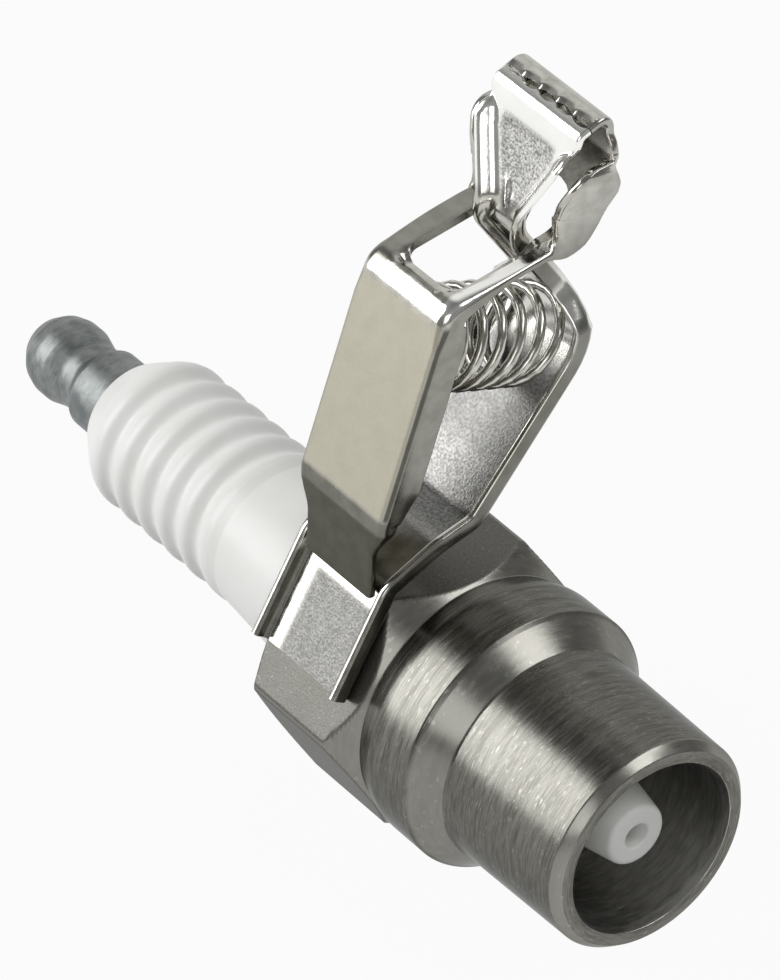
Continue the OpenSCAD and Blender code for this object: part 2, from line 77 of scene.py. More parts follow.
# %% Camera
EYE = (0.45025, -0.3195, 0.4240)
AZIMUTH = math.radians(52.16)
ELEVATION = math.radians(38.31)
ROLL = math.radians(0.94)
LENS = 343.46
FAR_LIMIT = 10

back = Vector((math.sin(AZIMUTH) * math.cos(ELEVATION),
               -math.cos(AZIMUTH) * math.cos(ELEVATION), math.sin(ELEVATION)))
level = Vector((math.cos(AZIMUTH), math.sin(AZIMUTH), 0))
upright = back.cross(level)
right = level * math.cos(ROLL) + upright * math.sin(ROLL)
up = upright * math.cos(ROLL) - level * math.sin(ROLL)
camera = bpy.data.objects.new("camera", bpy.data.cameras.new("camera"))
camera.data.lens = LENS
camera.data.clip_end = FAR_LIMIT
camera.matrix_world = Matrix.Translation(EYE) @ Matrix((right, up, back)).transposed().to_4x4()
bpy.context.scene.collection.objects.link(camera)
bpy.context.scene.camera = camera
print("camera", tuple(round(c, 3) for c in camera.location))

# %% [markdown]
# Materials are graphs of nodes, and long chains of Math nodes are hard to read. This small class
# wraps a socket, so that a sum of sockets is written as a sum and adds its own nodes. All other
# nodes come from one method, which takes the node's type, its settings and its inputs.


# %% Node bench
class Signal:
    """An output socket that takes part in Python arithmetic."""

    def __init__(self, bench, socket):
        self.bench = bench
        self.socket = socket

    def math(self, operation, *others):
        return self.bench.node("ShaderNodeMath", {"operation": operation}, dict(enumerate((self, *others))))

    def reflected(self, operation, first):
        return self.bench.node("ShaderNodeMath", {"operation": operation}, {0: first, 1: self})

    def __add__(self, other):
        return self.math("ADD", other)

    def __sub__(self, other):
        return self.math("SUBTRACT", other)

    def __mul__(self, other):
        return self.math("MULTIPLY", other)

    def __truediv__(self, other):
        return self.math("DIVIDE", other)

    def __pow__(self, other):
        return self.math("POWER", other)

    def __rsub__(self, other):
        return self.reflected("SUBTRACT", other)

    __radd__ = __add__
    __rmul__ = __mul__


class Bench:
    """Adds nodes to one tree."""

    def __init__(self, tree):
        self.tree = tree

    def node(self, kind, settings=None, inputs=None, out=0):
        made = self.tree.nodes.new(kind)
        for name, value in (settings or {}).items():
            if name == "stops":
                ramp = made.color_ramp.elements
                while len(ramp) < len(value):
                    ramp.new(1)
                for element, (place, colour) in zip(ramp, value):
                    element.position = place
                    element.color = colour
            else:
                setattr(made, name, value)
        for key, value in (inputs or {}).items():
            if isinstance(value, Signal):
                self.tree.links.new(value.socket, made.inputs[key])
            else:
                made.inputs[key].default_value = value
        return Signal(self, made.outputs[out])

    def vector(self, x, y, z):
        return self.node("ShaderNodeCombineXYZ", inputs={0: x, 1: y, 2: z})

    def split(self, vector):
        return [self.node("ShaderNodeSeparateXYZ", inputs={0: vector}, out=i) for i in range(3)]

    def vector_math(self, operation, a, b):
        return self.node("ShaderNodeVectorMath", {"operation": operation}, {0: a, 1: b})

    def band(self, value, low, high):
        """A value moved from low..high to 0..1, and held there."""
        return self.node("ShaderNodeMapRange", {"interpolation_type": "SMOOTHSTEP"},
                         {"Value": value, "From Min": low, "From Max": high})

    def seen_share(self):
        """1 for rays that the eye follows: straight, mirrored or through glass."""
        straight, mirrored, through = [self.node("ShaderNodeLightPath", out=f"Is {ray} Ray")
                                       for ray in ("Camera", "Glossy", "Transmission")]
        return (straight + mirrored + through).math("MINIMUM", 1.0)

    def end(self, shader, kind="ShaderNodeOutputMaterial"):
        """Show the shader as the tree's surface."""
        output = self.tree.nodes.new(kind)
        self.tree.links.new(shader.socket, output.inputs["Surface"])


class Finish(Bench):
    """A material: its nodes end in one Principled shader."""

    def __init__(self, name):
        self.material = bpy.data.materials.new(name)
        self.material.use_nodes = True
        super().__init__(self.material.node_tree)
        self.tree.nodes.clear()
        self.place = self.node("ShaderNodeTexCoord", out="Object")

    def noise(self, vector, scale, detail=3.0):
        return self.node("ShaderNodeTexNoise", inputs={"Vector": vector, "Scale": scale, "Detail": detail})

    def mix(self, share, a, b):
        return self.node("ShaderNodeMix", {"data_type": "RGBA"}, {0: share, 6: a, 7: b}, out=2)

    def attribute(self, name):
        return self.node("ShaderNodeAttribute", {"attribute_name": name}, out="Fac")

    def bump(self, height, strength, depth_mm):
        return self.node("ShaderNodeBump", inputs={"Height": height, "Strength": strength,
                                                   "Distance": depth_mm * MM})

    def close(self, sockets):
        self.end(self.node("ShaderNodeBsdfPrincipled", inputs=sockets))


def rgb(red, green, blue):
    return (red, green, blue, 1.0)


print("node bench ready")

# %% [markdown]
# The photograph shows the object on pure white, with a tall softbox on the left, a smaller one
# overhead and a weak one in front. The metal tells where they stand: a round bar mirrors a ring of
# directions, so the grey level round the nose is a map of the room. It is pale on the far side
# towards the terminal, and dim elsewhere. A large floor looks white to the camera and to the metal,
# and still takes a soft shadow.

# %% Floor
FLOOR_Z = cad_box[0].z
FLOOR_HALF = 3.0
PAPER_GREY = 0.4  # what the floor gives back to other surfaces
PAPER_GLOW = 0.95  # how white it looks to the eye

floor_corners = [(x * FLOOR_HALF, y * FLOOR_HALF, FLOOR_Z) for x, y in ((-1, -1), (1, -1), (1, 1), (-1, 1))]
floor_mesh = bpy.data.meshes.new("floor")
floor_mesh.from_pydata(floor_corners, [], [(0, 1, 2, 3)])
floor = bpy.data.objects.new("floor", floor_mesh)
bpy.context.scene.collection.objects.link(floor)

paper = bpy.data.materials.new("white_paper")
paper.use_nodes = True
bench = Bench(paper.node_tree)
paper.node_tree.nodes.clear()
matt = bench.node("ShaderNodeBsdfDiffuse", inputs={"Color": rgb(PAPER_GREY, PAPER_GREY, PAPER_GREY)})
glow = bench.node("ShaderNodeEmission", inputs={"Color": rgb(1, 1, 1), "Strength": 1.0})
bench.end(bench.node("ShaderNodeMixShader", inputs={0: bench.seen_share() * PAPER_GLOW, 1: matt, 2: glow}))
floor_mesh.materials.append(paper)
print("floor at", round(FLOOR_Z / MM, 2), "mm")

# %% World and lamps
DIM_SHARE = 0.3  # light left on the dim side of the room
UNSEEN_SHARE = 0.6  # light the room casts, as a share of what it shows
LAMP_TARGET = Vector((0.045, 0.0, 0.015))

scene = bpy.context.scene
scene.view_settings.view_transform = "Standard"
world = bpy.data.worlds.new("dim_room")
world.use_nodes = True
scene.world = world
bench = Bench(world.node_tree)
world.node_tree.nodes.clear()
aside, far, height = bench.split(bench.node("ShaderNodeTexCoord", out="Generated"))
sky = bench.node("ShaderNodeValToRGB",
                 {"stops": [(0.0, rgb(0.95, 0.95, 0.94)), (0.2, rgb(0.88, 0.88, 0.87)),
                            (0.45, rgb(0.75, 0.75, 0.74)), (0.75, rgb(0.95, 0.95, 0.94)),
                            (1.0, rgb(0.6, 0.6, 0.6))]}, {"Fac": height})
pale_side = bench.band(far, -0.05, 0.2) * (1 - bench.band(aside, -0.3, 0.25))
strength = (DIM_SHARE + (1 - DIM_SHARE) * pale_side) * (UNSEEN_SHARE + (1 - UNSEEN_SHARE) * bench.seen_share())
bench.end(bench.node("ShaderNodeBackground", inputs={"Color": sky, "Strength": strength}), "ShaderNodeOutputWorld")


def softbox(name, direction, distance, width, height, watts):
    """A lamp that looks at the clip from the given direction."""
    lamp = bpy.data.lights.new(name, "AREA")
    lamp.shape = "RECTANGLE"
    lamp.size, lamp.size_y = width, height
    lamp.energy = watts
    stand = bpy.data.objects.new(name, lamp)
    towards = Vector(direction).normalized()
    stand.location = LAMP_TARGET + towards * distance
    stand.rotation_euler = towards.to_track_quat("Z", "Y").to_euler()
    scene.collection.objects.link(stand)


softbox("tall", (-0.62, -0.66, 0.415), distance=0.9, width=0.46, height=0.8, watts=5.8)
softbox("overhead", (0.46, 0.42, 0.78), distance=0.9, width=0.58, height=0.3, watts=2.0)
softbox("front", (0.58, -0.70, 0.41), distance=1.0, width=0.5, height=0.5, watts=1.5)

# %% [markdown]
# The steel shell is turned on a lathe, then its hexagon is milled. So the mesh is made the same
# way: a profile of radius against station is swept round the axis, and over the hexagon the radius
# is cut back to the flats. Corners of the profile get small rounds, which catch the light. Behind the
# collar a shallow valley leaves room for the chamfer that runs round the front of the hexagon.


# %% Lathe
def unit(v):
    return v / np.linalg.norm(v)


def left(d):
    return np.array([-d[1], d[0]])


class Bend:
    """A bent line with round corners. at(row, k) is a row's point, moved k to the left."""

    def __init__(self, corners, turns, pitch, steps=8):
        self.corners = [np.array(c, float) for c in corners]
        self.turns = turns
        self.rows = []
        last = len(corners) - 1
        for i in range(last):
            length = np.linalg.norm(self.run_end(i, 0) - self.run_start(i, 0))
            count = max(1, round(length / pitch))
            self.rows += [("run", i, j / count) for j in range(count)]
            if i + 1 < last:
                self.rows += [("arc", i + 1, j / steps) for j in range(steps)]
        self.rows.append(("run", last - 1, 1.0))
        self.line = np.array([self.at(row, 0) for row in range(len(self.rows))])
        steps_along = np.linalg.norm(np.diff(self.line, axis=0), axis=1)
        self.length = np.concatenate([[0], np.cumsum(steps_along)])

    def arc_point(self, i, share, k):
        p, q, r = self.corners[i - 1:i + 2]
        a, b = unit(q - p), unit(r - q)
        side = np.sign(a[0] * b[1] - a[1] * b[0])
        angle = math.acos(np.clip(a @ b, -1, 1))
        radius = max(self.turns[i] - side * k, 0)
        place = q + k * (left(a) + left(b)) / (1 + a @ b)
        centre = place - radius * math.tan(angle / 2) * a + side * radius * left(a)
        head = math.atan2(a[1], a[0]) + side * angle * share
        return centre - side * radius * left(np.array([math.cos(head), math.sin(head)]))

    def run_dir(self, i):
        return unit(self.corners[i + 1] - self.corners[i])

    def run_start(self, i, k):
        if i == 0:
            return self.corners[0] + k * left(self.run_dir(0))
        return self.arc_point(i, 1, k)

    def run_end(self, i, k, reach=0):
        if i + 2 == len(self.corners):
            return self.corners[-1] + k * left(self.run_dir(i)) + reach * self.run_dir(i)
        return self.arc_point(i + 1, 0, k)

    def at(self, row, k, reach=0):
        kind, i, share = self.rows[row]
        if kind == "arc":
            return self.arc_point(i, share, k)
        return self.run_start(i, k) * (1 - share) + self.run_end(i, k, reach) * share

    def along(self, i):
        """Length from the start of the line to the point nearest its corner i."""
        return self.length[np.argmin(np.linalg.norm(self.line - self.corners[i], axis=1))]


def mesh_piece(name, points, faces, sharp=40):
    """A closed mesh from points in millimetres, with doubles merged and faces turned outwards."""
    mesh = bpy.data.meshes.new(name)
    mesh.from_pydata([tuple(p) for p in np.asarray(points) * MM], [], faces)
    work = bmesh.new()
    work.from_mesh(mesh)
    bmesh.ops.remove_doubles(work, verts=work.verts, dist=0.002 * MM)
    bmesh.ops.dissolve_degenerate(work, edges=work.edges, dist=0.0005 * MM)
    bmesh.ops.recalc_face_normals(work, faces=work.faces)
    work.to_mesh(mesh)
    work.free()
    mesh.polygons.foreach_set("use_smooth", [True] * len(mesh.polygons))
    mesh.set_sharp_from_angle(angle=math.radians(sharp))
    piece = bpy.data.objects.new(name, mesh)
    scene.collection.objects.link(piece)
    return piece


PLUG_REACH = 69.45  # the nose rim's place on X, where stations count from
HEX_SIDES = 6
SECTOR = math.tau / HEX_SIDES
FLAT_STEPS = np.linspace(-27, 27, 25)
CORNER_STEPS = np.linspace(27, 33, 13)[1:-1]
LATHE_ANGLES = np.radians([60 * i + a for i in range(HEX_SIDES)
                           for a in np.concatenate([FLAT_STEPS, CORNER_STEPS])])


def lathe(name, rows, closed=True):
    """Sweep rows round the X axis. A row is its station and its radius at every lathe angle."""
    count = len(LATHE_ANGLES)
    points, faces = [], []
    for station, radii in rows:
        radii = np.broadcast_to(radii, count)
        points += [(PLUG_REACH - station, r * math.sin(a), r * math.cos(a))
                   for r, a in zip(radii, LATHE_ANGLES)]
    rings = len(rows)
    for i in range(rings if closed else rings - 1):
        here, there = i * count, (i + 1) % rings * count
        faces += [(here + j, here + (j + 1) % count, there + (j + 1) % count, there + j)
                  for j in range(count)]
    return mesh_piece(name, points, faces)


def profile_rows(corners, turns, pitch=2.0):
    """Rows of a lathe profile, from [radius, station] corners and the round at each."""
    return [(s, r) for r, s in Bend(corners, turns, pitch, steps=5).line]


print("lathe angles:", len(LATHE_ANGLES))

# %% Shell
HEX_FLAT = 10.3  # half of the width across flats
CORNER_R = 11.744  # the hexagon's corners are turned off here
VALLEY_R = 10.05  # behind the collar
S_COLLAR, S_HEX = 20.6, 31.6  # stations where the hexagon starts and ends
FRONT_CONE, BACK_CONE = 2.1, 0.8  # lengths of its two chamfers
EDGE_SOFTNESS = 0.05


def soft_min(a, b, softness=EDGE_SOFTNESS):
    """The smaller of two radii, with the edge between them slightly rounded."""
    h = np.clip(0.5 + 0.5 * (b - a) / softness, 0, 1)
    return b * (1 - h) + a * h - softness * h * (1 - h)


def flat_radius(angles):
    """Radius of the hexagon's flats at these angles."""
    return HEX_FLAT / np.cos(np.abs((angles + SECTOR / 2) % SECTOR - SECTOR / 2))


front_cone = [(S_COLLAR + d, VALLEY_R + d / FRONT_CONE * (CORNER_R - VALLEY_R))
              for d in np.linspace(0, FRONT_CONE, 31)]
full_width = [(s, CORNER_R) for s in np.linspace(S_COLLAR + FRONT_CONE + 0.3, S_HEX - BACK_CONE - 0.2, 9)]
back_cone = [(S_HEX - d, HEX_FLAT + d / BACK_CONE * (CORNER_R - HEX_FLAT)) for d in np.linspace(BACK_CONE, 0, 17)]
inner_rows = profile_rows([(7.2, 33.4), (7.2, 32.4), (8.4, 32.4), (8.4, 18.45), (4.9, 16.7), (4.9, 14.2),
                           (6.5, 14.2), (6.9, 0.9), (7.0, 0), (7.95, 0), (8.55, 0.75), (8.75, 12.5),
                           (10.3, 14.5), (10.6, 14.8), (10.6, 18.7), (VALLEY_R, 20.57)],
                          [0, 0, 0, 0.2, 0, 0, 0.3, 0.6, 0.1, 0.15, 0.35, 0.45, 0.3, 0.3, 4, 0])
hex_rows = [(s, soft_min(flat_radius(LATHE_ANGLES), limit)) for s, limit in front_cone + full_width + back_cone]
back_rows = profile_rows([(9.7, 31.62), (9.7, 32.4), (7.7, 33.6), (7.2, 33.6), (7.2, 33.45)],
                         [0, 0.6, 0.3, 0.1, 0])
shell = lathe("plug_shell", inner_rows + hex_rows + back_rows)
print("shell faces:", len(shell.data.polygons))

# %% [markdown]
# The shell's nickel plate keeps the lathe's rings: hundreds of fine lines round the axis, some
# bright, some dark. A noise that changes fast along the axis and slowly around it draws them, and
# also scatters the highlight a little. Painted glints sparkle along some rings, and the milled flats
# have a fine even grain with painted glints instead. The taper seat, the bevels and a little of the
# rim get a paler colour, which is a painted sheen.


# %% Shell finish
def set_attribute(piece, name, values):
    layer = piece.data.attributes.new(name, "FLOAT", "POINT")
    layer.data.foreach_set("value", np.asarray(values, np.float32))


def points_of(piece):
    co = np.zeros(len(piece.data.vertices) * 3, np.float32)
    piece.data.vertices.foreach_get("co", co)
    return co.reshape(-1, 3) / MM


spots = points_of(shell)
station = PLUG_REACH - spots[:, 0]
radius = np.hypot(spots[:, 1], spots[:, 2])
angle = np.arctan2(spots[:, 1], spots[:, 2])
on_hex = (station > S_COLLAR - 0.01) & (station < S_HEX + 0.01)
on_flats = on_hex & (radius > flat_radius(angle) - 0.06)
on_bevels = on_hex & ~on_flats
on_seat = (station > 12.6) & (station < 14.6) & (radius > 8)
on_rim = (station < 0.2) & (radius > 7.1)
on_nose_bevel = (station < 0.8) & (radius > 7.96)
set_attribute(shell, "milled", on_flats)
# pale marks a painted sheen: a lighter colour on the taper seat, the bevels and the rim
set_attribute(shell, "pale", 1.0 * on_seat + 1.0 * on_bevels + 0.3 * on_rim + 1.1 * on_nose_bevel)
set_attribute(shell, "bore", (radius < 7.02) & (station < 15))

steel = Finish("shell_steel")
x, y, z = steel.split(steel.place)
from_axis = (y * y + z * z) ** 0.5
along = x + from_axis * 0.8


def rings(across, around, detail):
    """Noise that changes fast along the axis and slowly around it."""
    turned = steel.vector(along * across, y / from_axis * around, z / from_axis * around)
    return steel.noise(turned, 1.0, detail)


fine = rings(9000.0, 6.0, 2.0)
broad = rings(2400.0, 2.0, 3.0)
# Painted glints: bright dashes along some of the rings, off the milled flats.
spark = steel.band(rings(7000.0, 14.0, 1.0), 0.62, 0.76)
sand = steel.noise(steel.place, 6200.0, 3.0)
# Painted glints: small bright specks on the milled flats.
glint = steel.band(steel.noise(steel.place, 5200.0, 1.0), 0.66, 0.74)
patches = steel.noise(steel.place, 260.0, 3.0)
milled = steel.attribute("milled")
pale = steel.attribute("pale")
bore = steel.attribute("bore")
lines = fine * 0.55 + broad * 0.45
tone = steel.band(lines, 0.36, 0.64) * (1 - milled) + steel.band(sand, 0.35, 0.65) * milled
colour = steel.mix(tone, rgb(0.105, 0.103, 0.091), rgb(0.178, 0.175, 0.158))
colour = steel.mix(milled, colour, steel.mix(tone, rgb(0.12, 0.118, 0.107), rgb(0.16, 0.157, 0.144)))
# Painted sheen: the pale places get a lighter colour.
colour = steel.mix(pale * 0.6, colour, rgb(0.29, 0.285, 0.258))
# Painted glints along the rings.
colour = steel.mix(spark * (0.5 - 0.5 * milled), colour, rgb(0.34, 0.335, 0.31))
# Painted glints on the milled flats.
colour = steel.mix(milled * glint * 0.2, colour, rgb(0.5, 0.49, 0.46))
colour = steel.mix(bore * 0.8, colour, steel.mix(tone, rgb(0.46, 0.455, 0.43), rgb(0.68, 0.675, 0.65)))
rough = 0.2 + 0.06 * tone + 0.06 * patches + 0.14 * milled + 0.1 * bore
relief = lines * (1 - milled) + sand * milled
steel.close({"Base Color": colour, "Metallic": 1.0, "Roughness": rough, "Specular Tint": rgb(0.6, 0.6, 0.6),
             "Normal": steel.bump(relief, 0.45, 0.025)})
shell.data.materials.append(steel.material)
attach(shell, "plug")
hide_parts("shell")
print("shell finish:", steel.material.name)

# %% [markdown]
# The insulator is one glazed ceramic piece. Its body is turned like the shell. The five grooves
# that make its ribs repeat, so a Geometry Nodes tree presses them into the smooth body: each point
# knows its station, and a rule says how deep the groove is there.

# %% Insulator body
S_RIBS, S_TOP = 44.6, 61.6  # stations of the first groove and of the ceramic's end
GROOVES = 5
GROOVE_PITCH = 2.65
GROOVE_DEPTH = 0.42
GROOVE_POWER = 1.25  # above 1, the ribs are broader than the grooves
RIB_R, TOP_R = 6.15, 4.2
WALL_SHARE = 0.8  # points nearer to the axis than this share of RIB_R are in the bore
S_RIBS_END = S_RIBS + GROOVES * GROOVE_PITCH
cap_shares = [(0, 0.06), (0.07, 0.2), (0.22, 0.36), (0.44, 0.54), (0.66, 0.72), (0.87, 0.89), (1, 1)]
cap = [(RIB_R - a * (RIB_R - TOP_R), S_RIBS_END + b * (S_TOP - S_RIBS_END)) for a, b in cap_shares]
ceramic_body = [(1.0, 4.0), (1.0, 1.7), (2.4, 1.7), (4.6, 14.2), (4.6, 17.05), (8.3, 18.9), (8.3, 22.9),
                (6.9, 24.3), (6.9, 34.4), (6.05, 43.3), (RIB_R, 44.2)]
body_turns = [0, 0.15, 0.45, 1, 0.1, 0.2, 0.2, 0.3, 1.5, 1.2, 0.6]
ceramic_bore = [(1.9, S_TOP), (1.9, 18.2), (1.0, 18.2)]
ceramic_turns = body_turns + [0.8] * (len(cap) - 1) + [0.5, 0.05, 0.05, 0]
insulator = lathe("plug_insulator", profile_rows(ceramic_body + cap + ceramic_bore, ceramic_turns, pitch=0.12))
print("insulator faces:", len(insulator.data.polygons))


# %% Rib grooves
def tree_with(name, sizes):
    """A Geometry Nodes tree with a geometry in and out, and named sizes."""
    tree = bpy.data.node_groups.new(name, "GeometryNodeTree")
    tree.interface.new_socket("Geometry", in_out="INPUT", socket_type="NodeSocketGeometry")
    tree.interface.new_socket("Geometry", in_out="OUTPUT", socket_type="NodeSocketGeometry")
    keys = {}
    for size, value in sizes.items():
        kind = "NodeSocketVector" if hasattr(value, "__len__") else "NodeSocketFloat"
        keys[size] = tree.interface.new_socket(size, in_out="INPUT", socket_type=kind).identifier
    bench = Bench(tree)
    start = tree.nodes.new("NodeGroupInput")
    inputs = {socket.name: Signal(bench, socket) for socket in start.outputs if socket.name}
    return bench, inputs, keys


def end_tree(bench, geometry, material):
    """Realize, give the material, and close the tree."""
    real = bench.node("GeometryNodeRealizeInstances", inputs={0: geometry})
    dressed = bench.node("GeometryNodeSetMaterial", inputs={"Geometry": real, "Material": material})
    end = bench.tree.nodes.new("NodeGroupOutput")
    bench.tree.links.new(dressed.socket, end.inputs[0])


def run_tree(piece, bench, keys, sizes):
    """Run the tree on a piece, and keep the result as a plain mesh."""
    modifier = piece.modifiers.new(bench.tree.name, "NODES")
    modifier.node_group = bench.tree
    for size, value in sizes.items():
        modifier[keys[size]] = value
    evaluated = piece.evaluated_get(bpy.context.evaluated_depsgraph_get())
    made = bpy.data.meshes.new_from_object(evaluated)
    piece.modifiers.remove(modifier)
    piece.data = made
    return piece


glaze = Finish("white_glaze")
wave = glaze.noise(glaze.place, 220.0, 2.0)
speck = glaze.noise(glaze.place, 5200.0, 2.0)
porcelain = glaze.mix(glaze.band(wave, 0.35, 0.7), rgb(0.91, 0.91, 0.885), rgb(0.94, 0.94, 0.92))
glaze.close({"Base Color": porcelain, "Roughness": 0.36 + 0.12 * speck, "Coat Weight": 0.12,
             "Coat Roughness": 0.2, "Normal": glaze.bump(wave, 0.1, 0.05)})

groove_sizes = {"Start": (PLUG_REACH - S_RIBS) * MM, "Pitch": GROOVE_PITCH * MM, "Count": float(GROOVES),
                "Depth": GROOVE_DEPTH * MM, "Outer Radius": RIB_R * MM}
bench, sizes, keys = tree_with("rib_grooves", groove_sizes)
place = bench.node("GeometryNodeInputPosition")
px, py, pz = bench.split(place)
out = (py * py + pz * pz) ** 0.5
turn_count = (sizes["Start"] - px) / sizes["Pitch"]
inside = turn_count.math("GREATER_THAN", 0.0) * turn_count.math("LESS_THAN", sizes["Count"])
outside_wall = out.math("GREATER_THAN", sizes["Outer Radius"] * WALL_SHARE)
hollow = (0.5 - 0.5 * (turn_count * math.tau).math("COSINE")) ** GROOVE_POWER
share = 1 - hollow * sizes["Depth"] * inside * outside_wall / out
pressed = bench.vector(px, py * share, pz * share)
moved = bench.node("GeometryNodeSetPosition", inputs={"Geometry": sizes["Geometry"], "Position": pressed})
end_tree(bench, moved, glaze.material)
run_tree(insulator, bench, keys, groove_sizes)
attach(insulator, "plug")
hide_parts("insulator")
print("insulator after grooving:", len(insulator.data.polygons), "faces")

# %% [markdown]
# The terminal at the rear is a solid grey nut with a waist that the ignition lead snaps into. It is
# turned too, and its plating is dull, with soft clouds and faint rings.

# %% Terminal
terminal_corners = [(0, 64.0), (1.9, 64.0), (1.9, 61.65), (3.3, 61.65), (3.3, 65.2), (2.75, 65.9), (2.8, 67.2),
                    (3.25, 68.8), (3.25, 70.0), (2.95, 71.1), (2.1, 72.25), (0, 72.25)]
terminal_turns = [0, 0, 0.05, 0.25, 0.4, 0.8, 2.0, 0.9, 0.9, 1.2, 0.35, 0]
terminal = lathe("snap_terminal", profile_rows(terminal_corners, terminal_turns, pitch=0.5), closed=False)
dull = Finish("dull_plating")
x, y, z = dull.split(dull.place)
from_axis = (y * y + z * z) ** 0.5
rounds = dull.vector((x + from_axis * 0.5) * 5200.0, y * 1500.0, z * 1500.0)
marks = dull.noise(rounds, 1.0, 2.0)
haze = dull.noise(dull.place, 700.0, 3.0)
grey = dull.mix(dull.band(marks * 0.3 + haze * 0.7, 0.36, 0.64),
                rgb(0.15, 0.163, 0.163), rgb(0.27, 0.285, 0.28))
dull.close({"Base Color": grey, "Metallic": 0.9, "Roughness": 0.36 + 0.2 * haze,
            "Normal": dull.bump(marks, 0.12, 0.03)})
terminal.data.materials.append(dull.material)
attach(terminal, "plug")
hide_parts("terminal_nut")
print("terminal faces:", len(terminal.data.polygons))

# %% [markdown]
# Both arms of the clip are stamped from sheet: a long strip with its sides folded into flanges,
# bent along its length. A flat drawing of each bend line, with the width and the flange height along
# it, is enough to sweep the folded section from end to end. Sweeping it by hand, instead of adding
# thickness with a modifier, keeps every fold round and the sheet equally thick.

# %% Folded sheet
SHEET = 0.7  # thickness
CLIP_X = 42.65  # the clip's middle along the plug
EDGE_Y, EDGE_Z = -5.947, 10.3  # the hexagon's edge, where both side drawings start
WEB = 48  # columns across the web
CORNER_POINTS = 14  # points round each corner of the section
RIM = 0.2  # round of a wall's rim
CUT_ROUND = 0.3  # round of an edge with no wall
FILLET = 0.4  # round inside a fold
WALL_GROWS, FOLD_GROWS = 0.7, 0.8  # wall heights over which a wall and its fold appear
LIP_SLOPE = math.radians(20)
LIP_DIR = np.array([math.cos(LIP_SLOPE), math.sin(LIP_SLOPE)])
TEETH = 5
NOTCH_DEPTH = 0.25
TIP_SHARE = 0.2  # part of each tooth's width that is left as a tip
JAW_W = 9.5


def ease(share):
    """A smooth step from 0 to 1."""
    share = np.clip(share, 0, 1)
    return share * share * (3 - 2 * share)


def tooth(u):
    """How far the lip's edge stands back at u across the jaw: round notches between narrow tips."""
    share = (u / JAW_W + 0.5) * TEETH
    from_middle = abs(2 * (share % 1) - 1) / (1 - TIP_SHARE)
    return -NOTCH_DEPTH * (0.4 + 0.6 * ease(share - 0.6)) * math.sqrt(max(0, 1 - from_middle ** 2))


def corner(half, tall, other, fold):
    """A corner of the section, from the web's end to the wall's outer face: over the wall's rim
    where the wall stands up on this side of the sheet, or else round the fold."""
    stands = ease((tall - SHEET / 2) / WALL_GROWS)
    turn = CUT_ROUND + (fold - CUT_ROUND) * ease((other - SHEET / 2) / FOLD_GROWS)
    quarter = np.linspace(0, math.pi / 2, CORNER_POINTS)
    folded = np.stack([half - turn + turn * np.sin(quarter), SHEET / 2 - turn + turn * np.cos(quarter)], 1)
    inner = min(FILLET, 0.6 * (tall - SHEET / 2))
    fillet = quarter[::2] * (CORNER_POINTS - 1) / (CORNER_POINTS - 2)
    cap = np.linspace(math.pi, 0, CORNER_POINTS // 2)
    walled = np.concatenate([
        np.stack([half - SHEET - inner + inner * np.sin(fillet), SHEET / 2 + inner * (1 - np.cos(fillet))], 1),
        np.stack([half - SHEET / 2 + SHEET / 2 * np.cos(cap), tall - RIM + RIM * np.sin(cap)], 1)])
    return folded * (1 - stands) + walled * stands


def section(half, up, down, fold, flare, knot, window_knot):
    """The folded section as (u, k) pairs: upper web, right wall, lower web, left wall.
    A flared wall leans outwards, and its rim keeps its place."""
    foot = half - flare * (up - SHEET / 2)
    upper, lower = corner(foot, up, down, fold), corner(foot, down, up, fold) * (1, -1)
    upper[:, 0] += flare * np.maximum(upper[:, 1] - SHEET / 2, 0)

    def web(end):
        side = np.linspace(-end[0], -window_knot, knot + 1)
        middle = np.linspace(-window_knot, window_knot, WEB - 2 * knot + 1)
        return [(u, end[1]) for u in np.concatenate([side, middle[1:-1], -side[::-1]])]

    wall = [tuple(p) for p in np.concatenate([upper[1:], lower[:0:-1]])]
    return web(upper[0]), wall, web(lower[0])[::-1], [(-u, k) for u, k in wall[::-1]]


print("corner points:", CORNER_POINTS)


